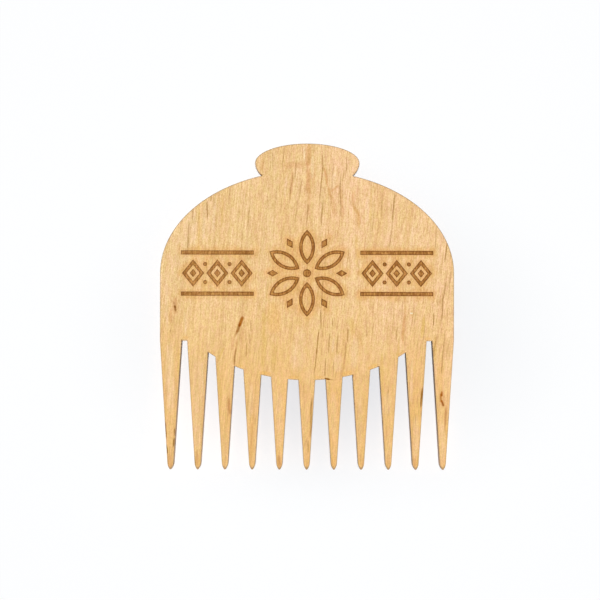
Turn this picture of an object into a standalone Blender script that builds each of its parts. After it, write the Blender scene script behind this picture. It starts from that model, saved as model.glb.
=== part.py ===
# A wooden beard comb, cut by laser from a sheet of three-ply wood.
# It lies on its back: X runs across the teeth, +Y points to the finger grip, +Z out of the engraved face.
# The origin is on the back face, in the middle of the outline's length and width. Lengths are in metres.

from math import atan2, cos, pi, radians, sin, sqrt

import bmesh
import bpy

# The sheet: three veneers and the two glue lines that bond them
backVeneerThickness = 0.00125
coreVeneerThickness = 0.00130
faceVeneerThickness = 0.00125
glueLineThickness = 0.00010

# The body's outline, measured from the springing line, where the straight sides meet the domed back
bodyWidth = 0.0800
crownRise = 0.0279
sideDrop = 0.0184
bellyDrop = 0.0291

# The finger grip, a flattened oval that grows out of the crown
gripWidth = 0.0284
gripStandoff = 0.0021
gripTopRise = 0.0053
gripUnderDrop = 0.0071

# The teeth, all of one profile: their roots are measured at the outer teeth's shoulders
toothCount = 11
toothLength = 0.03505
toothRootWidth = 0.0059
toothEndWidth = 0.00167
toothTipLength = 0.00172
toothNoseRadius = 0.00033

# The engraving in the face: a six-petalled rosette between two bands of lozenges
engravingDepth = 0.00025
engravingStroke = 0.00090
petalCount = 6
petalStart = 0.0024
petalLength = 0.0094
petalWidth = 0.0043
rosetteEyeRadius = 0.0011
rayLozengeReach = 0.0094
rayLozengeLength = 0.0030
rayLozengeWidth = 0.0018
bandGap = 0.0027
bandMargin = 0.00135
ruleThickness = 0.0011
lozengesInBand = 3
lozengeLength = 0.0060
lozengeHeight = 0.0074
lozengeGap = 0.0006
lozengeHeartLength = 0.0018
bandDotRadius = 0.00055
bandDotReach = 0.00245

# How finely the round stretches are drawn
crownSteps = 26
gripSteps = 36
gripUnderSteps = 6
rootSteps = 3
shoulderSteps = 3
noseSteps = 2
petalSteps = 10
eyeSteps = 20
dotSteps = 10
solveSteps = 50
cutterOverrun = 0.0010
sharpAngle = radians(30)

# What follows from those sizes
halfWidth = bodyWidth / 2
gripHalfWidth = gripWidth / 2
gripLift = crownRise + gripStandoff
tipDrop = sideDrop + toothLength
springingY = (tipDrop - gripLift - gripTopRise) / 2
shoulderY = springingY - sideDrop
tipY = springingY - tipDrop
gripY = springingY + gripLift
toothPitch = (bodyWidth - toothRootWidth) / (toothCount - 1)
toothTaper = (toothRootWidth - toothEndWidth) / 2 / (toothLength - toothTipLength)
lozengeSpacing = lozengeLength + lozengeGap
bandStart = petalStart + petalLength + bandGap
bandLength = lozengesInBand * lozengeSpacing
ruleReach = lozengeHeight / 2 + bandMargin


def ellipsePoints(centreY, halfLength, rise, startAngle, endAngle, steps):
    """Points on an ellipse about the comb's middle line, angles in radians from +X."""
    angles = [startAngle + (endAngle - startAngle) * i / steps for i in range(steps + 1)]
    return [(halfLength * cos(a), centreY + rise * sin(a)) for a in angles]


def notchX():
    """How far from the middle line the grip's underside meets the crown, by halving."""
    inner = 0.0
    outer = gripHalfWidth
    for _ in range(solveSteps):
        middle = (inner + outer) / 2
        crown = crownRise * sqrt(1 - (middle / halfWidth) ** 2)
        underside = gripLift - gripUnderDrop * sqrt(1 - (middle / gripHalfWidth) ** 2)
        if crown > underside:
            inner = middle
        else:
            outer = middle
    return inner


def backOutline():
    """From the right shoulder up the side, over the crown and the grip, down to the left shoulder."""
    notch = notchX()
    crownHeight = sqrt(1 - (notch / halfWidth) ** 2)
    crownAngle = atan2(crownHeight, notch / halfWidth)
    gripAngle = atan2(sqrt(1 - (notch / gripHalfWidth) ** 2), notch / gripHalfWidth)
    rightCrown = ellipsePoints(springingY, halfWidth, crownRise, 0, crownAngle, crownSteps)
    leftCrown = [(-x, y) for x, y in reversed(rightCrown)]
    under = ellipsePoints(gripY, gripHalfWidth, gripUnderDrop, -gripAngle, 0, gripUnderSteps)
    over = ellipsePoints(gripY, gripHalfWidth, gripTopRise, 0, pi, gripSteps)
    leftUnder = [(-x, y) for x, y in reversed(under)]
    grip = under[1:] + over[1:-1] + leftUnder[:-1]
    return [(halfWidth, shoulderY)] + rightCrown + grip + leftCrown + [(-halfWidth, shoulderY)]


def toothHalfWidth(y):
    """Half a tooth's width at a height above its rounded tip."""
    return toothEndWidth / 2 + toothTaper * (y - tipY - toothTipLength)


def rootY(x):
    """Where a slot ends: on the belly's curve, and never above the shoulders."""
    belly = springingY - bellyDrop * sqrt(1 - (x / halfWidth) ** 2)
    return min(belly, shoulderY)


def slotCorner(toothX, side):
    """Where one side of a tooth, -1 left or 1 right, runs into the end of its slot."""
    y = shoulderY
    for _ in range(solveSteps):
        y = rootY(toothX + side * toothHalfWidth(y))
    return toothX + side * toothHalfWidth(y), y


def tipPoints():
    """Half a tooth's tip about its own axis, from the tapered side to the point: a shoulder arc, then the nose."""
    slant = atan2(toothTaper, 1)
    across = cos(slant)
    down = -sin(slant)
    startX = toothEndWidth / 2
    startY = toothTipLength
    riseFromNose = startY - toothNoseRadius
    reach = startX * across + riseFromNose * down
    radius = (startX**2 + riseFromNose**2 - toothNoseRadius**2) / (2 * (reach - toothNoseRadius))
    centreX = startX - radius * across
    centreY = startY - radius * down
    meetAngle = atan2(toothNoseRadius - centreY, -centreX)
    points = []
    for i in range(shoulderSteps + 1):
        angle = -slant + (meetAngle + slant) * i / shoulderSteps
        points.append((centreX + radius * cos(angle), centreY + radius * sin(angle)))
    for i in range(1, noseSteps + 1):
        angle = meetAngle + (-pi / 2 - meetAngle) * i / noseSteps
        points.append((toothNoseRadius * cos(angle), toothNoseRadius + toothNoseRadius * sin(angle)))
    return points


def teethOutline():
    """From the left shoulder along all the teeth to the right shoulder."""
    halfTip = tipPoints()
    points = []
    for tooth in range(toothCount):
        toothX = (tooth - (toothCount - 1) / 2) * toothPitch
        points += [(toothX - x, tipY + y) for x, y in halfTip]
        points += [(toothX + x, tipY + y) for x, y in reversed(halfTip[:-1])]
        if tooth < toothCount - 1:
            fromX, fromY = slotCorner(toothX, 1)
            toX, toY = slotCorner(toothX + toothPitch, -1)
            points.append((fromX, fromY))
            for i in range(1, rootSteps):
                x = fromX + (toX - fromX) * i / rootSteps
                points.append((x, rootY(x)))
            points.append((toX, toY))
    return points


def combOutline():
    return backOutline() + teethOutline()


def woodMaterial(name, colour, roughness):
    """A Principled material of one even colour."""
    material = bpy.data.materials.new(name)
    material.use_nodes = True
    shader = material.node_tree.nodes["Principled BSDF"]
    shader.inputs["Base Color"].default_value = (*colour, 1)
    shader.inputs["Roughness"].default_value = roughness
    shader.inputs["Metallic"].default_value = 0
    return material


def raisePlates(mesh, low, high):
    """Lifts every face drawn at the low height into a solid that ends at the high one."""
    lifted = bmesh.ops.extrude_face_region(mesh, geom=mesh.faces[:])
    newVerts = [item for item in lifted["geom"] if isinstance(item, bmesh.types.BMVert)]
    bmesh.ops.translate(mesh, verts=newVerts, vec=(0, 0, high - low))
    for vert in newVerts:
        vert.co.z = high
    bmesh.ops.recalc_face_normals(mesh, faces=mesh.faces[:])


def makeObject(name, mesh):
    data = bpy.data.meshes.new(name)
    mesh.to_mesh(data)
    mesh.free()
    item = bpy.data.objects.new(name, data)
    bpy.context.scene.collection.objects.link(item)
    return item


def cutPly(name, outline, low, high, material):
    """One layer of the sheet, with the comb's outline cut through it. Its round stretches are shaded smooth."""
    mesh = bmesh.new()
    mesh.faces.new([mesh.verts.new((x, y, low)) for x, y in outline])
    raisePlates(mesh, low, high)
    ply = makeObject(name, mesh)
    ply.data.materials.append(material)
    ply.data.shade_smooth()
    ply.data.set_sharp_from_angle(angle=sharpAngle)
    return ply


def turned(points, angle, centreX, centreY):
    """The points turned about the origin, then moved to a centre."""
    return [
        (centreX + x * cos(angle) - y * sin(angle), centreY + x * sin(angle) + y * cos(angle))
        for x, y in points
    ]


def lensPoints(length, width, inset):
    """A pointed petal along +X from x = 0, made of two arcs, drawn inset from its edge."""
    radius = (length**2 + width**2) / (4 * width)
    centreDrop = radius - width / 2
    smallRadius = radius - inset
    halfAngle = atan2(sqrt(smallRadius**2 - centreDrop**2), centreDrop)
    upper = []
    for i in range(petalSteps):
        angle = pi / 2 - halfAngle + 2 * halfAngle * i / petalSteps
        upper.append((length / 2 + smallRadius * cos(angle), smallRadius * sin(angle) - centreDrop))
    lower = [(length - x, -y) for x, y in upper]
    return upper + lower


def lozengePoints(length, height, inset):
    """A diamond about the origin, drawn inset from its edge."""
    halfLength = length / 2
    halfHeight = height / 2
    shrink = 1 - inset * sqrt(halfLength**2 + halfHeight**2) / (halfLength * halfHeight)
    a = halfLength * shrink
    b = halfHeight * shrink
    return [(a, 0), (0, b), (-a, 0), (0, -b)]


def addPlate(mesh, points, z):
    mesh.faces.new([mesh.verts.new((x, y, z)) for x, y in points])


def addRing(mesh, outer, inner, z):
    """A flat ring between two outlines that have as many points each."""
    loops = []
    for points in (outer, inner):
        verts = [mesh.verts.new((x, y, z)) for x, y in points]
        loops += [mesh.edges.new((verts[i - 1], verts[i])) for i in range(len(verts))]
    bmesh.ops.bridge_loops(mesh, edges=loops)


def addDot(mesh, radius, steps, centreX, centreY, z):
    angles = [2 * pi * i / steps for i in range(steps)]
    addPlate(mesh, [(centreX + radius * cos(a), centreY + radius * sin(a)) for a in angles], z)


def addRosette(mesh, z):
    """Outlined petals round an eye, with a small lozenge on the ray between each two."""
    addDot(mesh, rosetteEyeRadius, eyeSteps, 0, springingY, z)
    outer = [(petalStart + x, y) for x, y in lensPoints(petalLength, petalWidth, 0)]
    inner = [(petalStart + x, y) for x, y in lensPoints(petalLength, petalWidth, engravingStroke)]
    ray = [(rayLozengeReach + x, y) for x, y in lozengePoints(rayLozengeLength, rayLozengeWidth, 0)]
    for i in range(petalCount):
        angle = pi / 2 + 2 * pi * i / petalCount
        addRing(mesh, turned(outer, angle, 0, springingY), turned(inner, angle, 0, springingY), z)
        addPlate(mesh, turned(ray, angle + pi / petalCount, 0, springingY), z)


def addBand(mesh, side, z):
    """Outlined lozenges with solid hearts and dots between them, in a row between two rules on one side."""
    near = side * bandStart
    far = side * (bandStart + bandLength)
    for edge in (-1, 1):
        inside = springingY + edge * ruleReach
        outside = springingY + edge * (ruleReach + ruleThickness)
        addPlate(mesh, [(near, inside), (far, inside), (far, outside), (near, outside)], z)
    heartHeight = lozengeHeartLength * lozengeHeight / lozengeLength
    for i in range(lozengesInBand):
        x = side * (bandStart + lozengeSpacing * (i + 0.5))
        outer = turned(lozengePoints(lozengeLength, lozengeHeight, 0), 0, x, springingY)
        inner = turned(lozengePoints(lozengeLength, lozengeHeight, engravingStroke), 0, x, springingY)
        addRing(mesh, outer, inner, z)
        addPlate(mesh, turned(lozengePoints(lozengeHeartLength, heartHeight, 0), 0, x, springingY), z)
    for i in range(1, lozengesInBand):
        x = side * (bandStart + lozengeSpacing * i)
        for edge in (-1, 1):
            addDot(mesh, bandDotRadius, dotSteps, x, springingY + edge * bandDotReach, z)


def engrave(ply, top):
    """Sinks the ornament into a ply's upper face."""
    mesh = bmesh.new()
    floor = top - engravingDepth
    addRosette(mesh, floor)
    for side in (-1, 1):
        addBand(mesh, side, floor)
    raisePlates(mesh, floor, top + cutterOverrun)
    cutter = makeObject("engraving_cutter", mesh)
    cutter.hide_render = True
    cutter.display_type = "WIRE"
    cut = ply.modifiers.new("engraving", "BOOLEAN")
    cut.operation = "DIFFERENCE"
    cut.solver = "EXACT"
    cut.object = cutter


def buildComb():
    """Stacks the plies from the back face up. Each one starts at the height where the last one ends."""
    backWood = woodMaterial("back_wood", (0.79, 0.51, 0.25), 0.58)
    coreWood = woodMaterial("core_wood", (0.60, 0.37, 0.17), 0.66)
    faceWood = woodMaterial("face_wood", (0.85, 0.55, 0.26), 0.55)
    glueFilm = woodMaterial("glue_film", (0.16, 0.085, 0.04), 0.45)
    layers = [
        ("back_veneer", backVeneerThickness, backWood),
        ("back_glue_line", glueLineThickness, glueFilm),
        ("core_veneer", coreVeneerThickness, coreWood),
        ("face_glue_line", glueLineThickness, glueFilm),
        ("face_veneer", faceVeneerThickness, faceWood),
    ]
    outline = combOutline()
    plies = {}
    low = 0.0
    for name, thickness, material in layers:
        high = low + thickness
        plies[name] = cutPly(name, outline, low, high, material)
        low = high
    engrave(plies["face_veneer"], high)


for item in list(bpy.data.objects):
    bpy.data.objects.remove(item)
buildComb()
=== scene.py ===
# The looks of a laser-cut wooden beard comb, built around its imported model.
# Lengths are in metres where shapes are made, and in millimetres inside the materials.
from math import atan2, hypot, radians

import bmesh
import bpy
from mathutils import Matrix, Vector
from mathutils.bvhtree import BVHTree


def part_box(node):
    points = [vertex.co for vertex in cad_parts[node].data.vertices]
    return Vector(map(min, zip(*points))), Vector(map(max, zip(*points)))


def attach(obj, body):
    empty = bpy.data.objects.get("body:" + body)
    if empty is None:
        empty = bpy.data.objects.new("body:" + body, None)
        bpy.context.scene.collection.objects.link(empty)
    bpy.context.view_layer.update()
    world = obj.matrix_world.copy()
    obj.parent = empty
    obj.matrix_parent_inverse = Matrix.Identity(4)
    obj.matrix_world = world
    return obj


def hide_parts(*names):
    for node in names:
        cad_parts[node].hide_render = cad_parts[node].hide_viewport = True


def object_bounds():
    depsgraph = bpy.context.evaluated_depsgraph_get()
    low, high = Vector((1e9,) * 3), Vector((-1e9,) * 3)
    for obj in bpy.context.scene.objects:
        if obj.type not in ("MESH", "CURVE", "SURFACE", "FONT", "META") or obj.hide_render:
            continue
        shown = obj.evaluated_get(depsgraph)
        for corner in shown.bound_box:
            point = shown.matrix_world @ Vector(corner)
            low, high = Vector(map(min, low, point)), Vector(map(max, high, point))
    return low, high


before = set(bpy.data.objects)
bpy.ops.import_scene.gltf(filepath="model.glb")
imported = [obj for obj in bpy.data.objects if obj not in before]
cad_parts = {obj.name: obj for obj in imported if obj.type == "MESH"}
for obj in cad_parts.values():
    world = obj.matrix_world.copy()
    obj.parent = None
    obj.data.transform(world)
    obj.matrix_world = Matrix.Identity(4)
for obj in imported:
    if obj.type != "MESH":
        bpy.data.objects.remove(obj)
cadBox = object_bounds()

millimetre = 0.001
mergeDistance = 1e-6
flatAngle = radians(0.2)
smoothAngle = radians(30)
levelNormal = 0.9  # a face lies level where the upright part of its normal is past this
wallNormal = 0.3  # and it is a wall below this


# small helpers for shapes

def makeActive(piece):
    bpy.ops.object.select_all(action="DESELECT")
    piece.select_set(True)
    bpy.context.view_layer.objects.active = piece


def editFaces(piece, wanted):
    # opens the piece in edit mode with only the wanted faces selected
    makeActive(piece)
    bpy.ops.object.mode_set(mode="EDIT")
    bpy.ops.mesh.select_mode(type="FACE")
    bpy.ops.mesh.select_all(action="DESELECT")
    mesh = bmesh.from_edit_mesh(piece.data)
    for face in mesh.faces:
        face.select_set(bool(wanted(face)))
    bmesh.update_edit_mesh(piece.data)


def leaveEditing():
    bpy.ops.object.mode_set(mode="OBJECT")


def isLevel(face, facing):
    # whether a face lies level and looks up (1) or down (-1)
    return face.normal.z * facing > levelNormal


def copyNode(nodeName, pieceName):
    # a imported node's mesh is loose triangles, so the copy is merged into plain faces first
    piece = bpy.data.objects.new(pieceName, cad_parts[nodeName].data.copy())
    bpy.context.scene.collection.objects.link(piece)
    piece.data.materials.clear()
    editFaces(piece, lambda face: True)
    bpy.ops.mesh.remove_doubles(threshold=mergeDistance)
    bpy.ops.mesh.dissolve_limited(angle_limit=flatAngle)
    leaveEditing()
    makeActive(piece)
    bpy.ops.mesh.customdata_custom_splitnormals_clear()
    return piece


def lift(distance):
    bpy.ops.transform.translate(value=(0, 0, distance))


def combine(piece, cutter, operation):
    makeActive(piece)
    bpy.ops.object.modifier_add(type="BOOLEAN")
    cut = piece.modifiers[-1]
    cut.operation = operation
    cut.solver = "EXACT"
    cut.object = cutter
    bpy.ops.object.modifier_apply(modifier=cut.name)
    bpy.data.objects.remove(cutter)


def outlineWalls(piece, facing):
    # upright walls on the rim of the faces that look up (1) or down (-1), to measure level distances to
    reach = 20 * millimetre
    mesh = bmesh.new()
    mesh.from_mesh(piece.data)
    verts = []
    walls = []
    for edge in mesh.edges:
        flat = [face for face in edge.link_faces if isLevel(face, facing)]
        if len(flat) == 1:
            (x0, y0, _), (x1, y1, _) = (vert.co for vert in edge.verts)
            first = len(verts)
            verts += [(x0, y0, -reach), (x1, y1, -reach), (x1, y1, reach), (x0, y0, reach)]
            walls.append((first, first + 1, first + 2, first + 3))
    mesh.free()
    return BVHTree.FromPolygons(verts, walls)


def storeDistance(piece, name, walls, isSunk=lambda vert: False):
    # how far each vertex is from the walls, in millimetres, and less than nothing where it is sunk
    distances = []
    for vert in piece.data.vertices:
        spot = Vector((vert.co.x, vert.co.y, 0))
        distance = walls.find_nearest(spot)[3] / millimetre
        distances.append(-distance if isSunk(vert) else distance)
    attribute = piece.data.attributes.new(name, "FLOAT", "POINT")
    attribute.data.foreach_set("value", distances)
    return distances


# small helpers for materials

def tone(red, green, blue):
    # a colour as it shows on a screen, 0 to 255
    parts = [part / 255 for part in (red, green, blue)]
    return (*[part / 12.92 if part < 0.04 else ((part + 0.055) / 1.055) ** 2.4 for part in parts], 1)


def addNode(tree, kind, inputs, **settings):
    node = tree.nodes.new(kind)
    for name, value in settings.items():
        setattr(node, name, value)
    for key, value in inputs.items():
        if isinstance(value, bpy.types.NodeSocket):
            tree.links.new(value, node.inputs[key])
        else:
            node.inputs[key].default_value = value
    return node


def calculate(tree, operation, first, second=0.0):
    return addNode(tree, "ShaderNodeMath", {0: first, 1: second}, operation=operation).outputs[0]


def vectorMath(tree, operation, inputs, output="Vector"):
    return addNode(tree, "ShaderNodeVectorMath", inputs, operation=operation).outputs[output]


def splitAxes(tree, vector):
    return addNode(tree, "ShaderNodeSeparateXYZ", {"Vector": vector}).outputs


def blendColour(tree, factor, under, over, how="MIX"):
    sockets = {0: factor, 6: under, 7: over}
    return addNode(tree, "ShaderNodeMix", sockets, data_type="RGBA", blend_type=how).outputs[2]


def fade(tree, value, start, end, low=0.0, high=1.0):
    limits = {"Value": value, "From Min": start, "From Max": end, "To Min": low, "To Max": high}
    return addNode(tree, "ShaderNodeMapRange", limits, interpolation_type="SMOOTHSTEP").outputs["Result"]


def stretchedNoise(tree, vector, across, along, upright, seed, detail=2.0, roughness=0.5):
    # cells a millimetre, across and along the grain and up through the sheet; the seed moves it elsewhere
    sockets = {0: vector, 1: (across, along, upright), 2: (seed, seed * 1.7, seed * 0.6)}
    stretched = vectorMath(tree, "MULTIPLY_ADD", sockets)
    look = {"Vector": stretched, "Scale": 1.0, "Detail": detail, "Roughness": roughness}
    return addNode(tree, "ShaderNodeTexNoise", look).outputs["Fac"]


def readAttribute(tree, name):
    return addNode(tree, "ShaderNodeAttribute", {}, attribute_name=name).outputs["Fac"]


def addRelief(tree, shader, height, strength, depth):
    bump = addNode(tree, "ShaderNodeBump", {"Strength": strength, "Distance": depth, "Height": height})
    tree.links.new(bump.outputs[0], shader.inputs["Normal"])


def startMaterial(name, roughness, specular):
    material = bpy.data.materials.new(name)
    material.use_nodes = True
    shader = material.node_tree.nodes["Principled BSDF"]
    shader.inputs["Roughness"].default_value = roughness
    shader.inputs["Specular IOR Level"].default_value = specular
    return material, material.node_tree, shader


def inMillimetres(tree):
    place = addNode(tree, "ShaderNodeTexCoord", {}).outputs["Object"]
    return vectorMath(tree, "SCALE", {0: place, 3: 1 / millimetre})


def grainVector(tree, place, lean, drift, driftCell, seed):
    # turns the leaning grain upright, then lets it wander sideways a little
    sockets = {"Vector": place, "Rotation": (0, 0, radians(lean))}
    turned = addNode(tree, "ShaderNodeMapping", sockets).outputs[0]
    wander = stretchedNoise(tree, turned, 1 / driftCell, 0.5 / driftCell, 1 / driftCell, seed, 1.0)
    shift = calculate(tree, "MULTIPLY", calculate(tree, "SUBTRACT", wander, 0.5), drift)
    sideways = addNode(tree, "ShaderNodeCombineXYZ", {"X": shift}).outputs[0]
    return vectorMath(tree, "ADD", {0: turned, 1: sideways})


# the wood of the two outer veneers

faceWood = {
    "pale": tone(244, 207, 146),
    "deep": tone(238, 195, 129),
    "pink": tone(251, 209, 158),
    "low": tone(243, 192, 112),
    "cloud": tone(221, 167, 102),
    "olive": tone(231, 189, 106),
    "glow": tone(238, 184, 98),
    "pore": tone(210, 158, 100),
    "streak": tone(170, 126, 50),
    "rust": tone(186, 112, 18),
    "scorch": tone(150, 99, 16),
    "light": tone(248, 213, 165),
    "paleFleck": tone(255, 238, 204),
    "tips": tone(228, 174, 96),
    # the rim line's colour: the laser's char with painted edge shade
    "char": tone(150, 124, 98),
    "charAndShadeStrength": (0.38, 0.62),
    "darkFibre": (0.72, 0.63, 0.47, 1),
    "midFibre": (0.96, 0.94, 0.96, 1),
    "smoothTeeth": 0.42,
    "lines": ((0.890, 0.875, 0.810, 1), (1.050, 1.065, 1.120, 1)),
    "lightFibre": (1.20, 1.25, 1.46, 1),
    "hues": ((0.985, 1.015, 0.93, 1), (1.02, 0.99, 1.06, 1)),  # greener and pinker patches
    "lean": 4.5,
    "drift": 1.6,
    "driftCell": 22.0,
    "rings": 0.30,
    "seed": 3.0,
    "roughness": 0.58,
    "specular": 0.20,
}

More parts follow.
